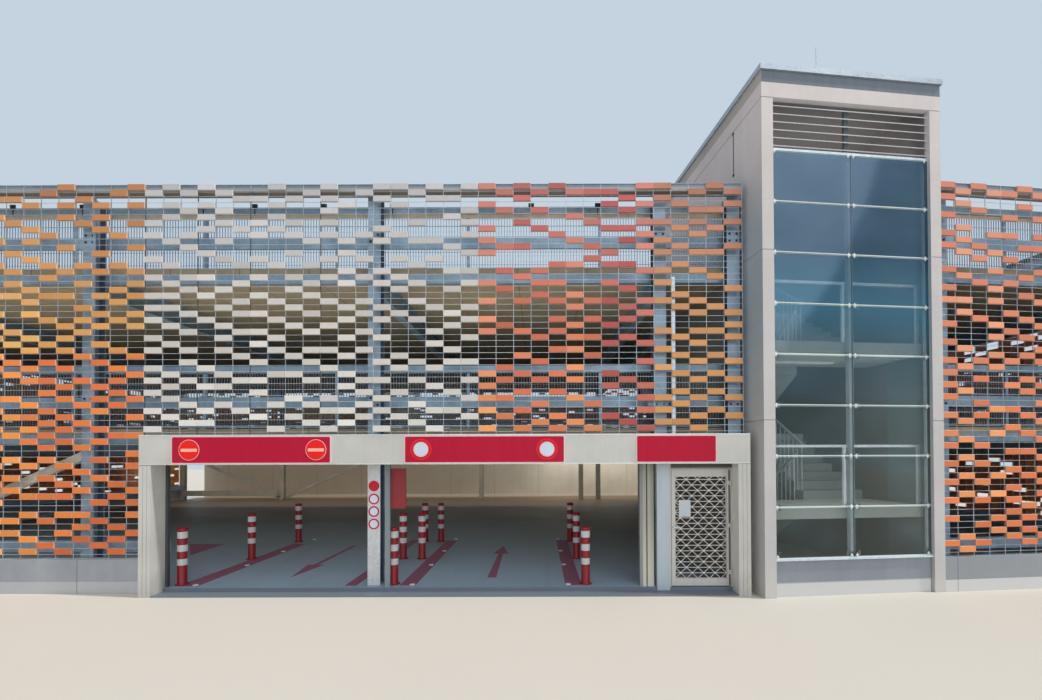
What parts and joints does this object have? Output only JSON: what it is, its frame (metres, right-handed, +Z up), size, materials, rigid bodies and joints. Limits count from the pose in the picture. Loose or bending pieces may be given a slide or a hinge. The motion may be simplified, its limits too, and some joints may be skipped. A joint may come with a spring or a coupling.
{
  "type": "multi storey car park",
  "caption": "Open steel car park behind a screen of coloured plates, with a drive-through portal, a gate for people and a glazed stair tower.",
  "frame": {"origin": "on the ground, on the line of the front screen, inside the portal", "axes": "+X to the right along the main front, +Y into the building, +Z up"},
  "size_m": [30.484, 19.6957, 9.2],
  "materials": {
    "parking_floor": "coated concrete, worn",
    "plinth_concrete": "fair-faced concrete",
    "yard_concrete": "plain concrete",
    "portal_cladding": "satin paint",
    "dark_steel": "satin paint",
    "galvanised_steel": "hot-dip galvanised",
    "deck_concrete": "cast concrete",
    "screen_orange": "powder coated",
    "screen_red": "powder coated",
    "tower_concrete": "precast concrete",
    "light_metal": "satin",
    "tower_glass": "clear, point fixed",
    "steel_fittings": "satin",
    "roof_edge": "matt paint",
    "stair_concrete": "cast concrete",
    "gate_paint": "satin paint",
    "bollard_red": "gloss paint"
  },
  "bodies": {
    "building": {"floor_slab": "parking_floor", "plinths": "plinth_concrete", "yard_wall": "yard_concrete", "portal_lintel": "portal_cladding", "portal_jambs": "portal_cladding", "portal_posts": "dark_steel", "columns_front": "galvanised_steel", "columns_rear": "galvanised_steel", "columns_wing": "galvanised_steel", "screen_posts": "galvanised_steel", "bracing": "galvanised_steel", "floor_beams": "galvanised_steel", "edge_beams": "galvanised_steel", "deck_1": "deck_concrete", "deck_2": "deck_concrete", "crash_rails": "galvanised_steel", "railings_1": "galvanised_steel", "railings_2": "galvanised_steel", "head_beams": "galvanised_steel", "screen_left": "screen_orange", "screen_portal": "screen_red", "screen_wing": "screen_orange", "screen_left_end": "screen_orange", "screen_wing_end": "screen_orange", "screen_rear": "screen_orange", "tower_left_wall": "tower_concrete", "tower_right_wall": "tower_concrete", "tower_back_wall": "tower_concrete", "tower_plinth": "plinth_concrete", "tower_floor": "deck_concrete", "glazing_frame": "light_metal", "tower_glass": "tower_glass", "glass_fittings": "steel_fittings", "tower_louvres": "light_metal", "tower_ring_beam": "tower_concrete", "tower_roof": "roof_edge", "tower_capping": "light_metal", "stair_landings": "stair_concrete", "stair_flight_1": "stair_concrete", "stair_flight_2": "stair_concrete", "stair_flight_3": "stair_concrete", "stair_flight_4": "stair_concrete", "stair_rails": "light_metal", "landing_guards": "light_metal", "lightning_rod": "galvanised_steel", "gate_frame": "gate_paint", "bollards": "bollard_red"},
    "gate": {"gate_leaf": "gate_paint", "gate_grille": "gate_paint", "gate_handle": "steel_fittings"}
  },
  "joints": [
    {"name": "gate_hinge", "type": "hinge", "parent": "building", "child": "gate", "pos_m": [3.571, -0.046, 1.1], "axis": [0, 0, 1], "range_deg": [0, 90]}
  ]
}
